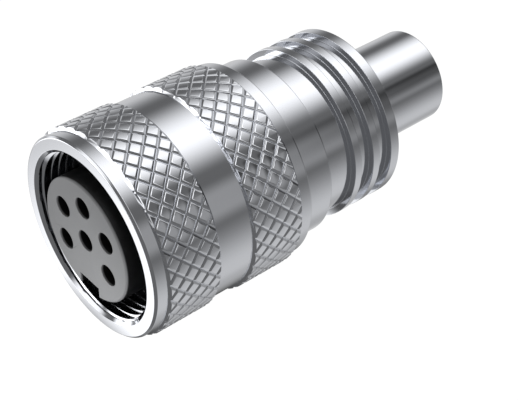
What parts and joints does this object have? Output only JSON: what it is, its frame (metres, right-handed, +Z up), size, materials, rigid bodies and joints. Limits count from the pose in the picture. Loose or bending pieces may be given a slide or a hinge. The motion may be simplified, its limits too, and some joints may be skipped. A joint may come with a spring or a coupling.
{
  "type": "circular connector",
  "caption": "Screened circular cable connector: a knurled coupling ring turns on a metal body that holds a keyed socket insert, with ribs and a crimp tube at the cable end.",
  "frame": {"origin": "on the connector's axis, in the plane of the coupling ring's front face", "axes": "+Y runs along the axis from the mating end to the cable end, +Z is up and the key notch is at -Z"},
  "size_m": [0.0192, 0.0379, 0.0192],
  "materials": {
    "nickel_plate": "bright nickel on turned brass",
    "spring_steel": "oiled spring steel",
    "slide_plastic": "natural acetal",
    "sleeve_plastic": "natural nylon",
    "insert_plastic": "moulded grey nylon",
    "seal_rubber": "black nitrile",
    "gold_plate": "gold on turned brass"
  },
  "bodies": {
    "shell": {"contact_1": "gold_plate", "contact_2": "gold_plate", "contact_3": "gold_plate", "contact_4": "gold_plate", "contact_5": "gold_plate", "contact_6": "gold_plate", "contact_retainer": "insert_plastic", "crimp_tube": "nickel_plate", "friction_ring": "seal_rubber", "front_seal": "seal_rubber", "front_shell": "nickel_plate", "insert_body": "insert_plastic", "insert_gasket": "seal_rubber", "insulating_sleeve": "sleeve_plastic", "joint_seal": "seal_rubber", "rear_adapter": "nickel_plate", "shield_ring": "nickel_plate", "snap_ring": "spring_steel", "thrust_washer": "slide_plastic"},
    "ring": {"coupling_ring": "nickel_plate"}
  },
  "joints": [
    {"name": "coupling_ring_spin", "type": "hinge", "parent": "shell", "child": "ring", "pos_m": [0, 0.0083, 0], "axis": [0, 1, 0], "continuous": true}
  ]
}
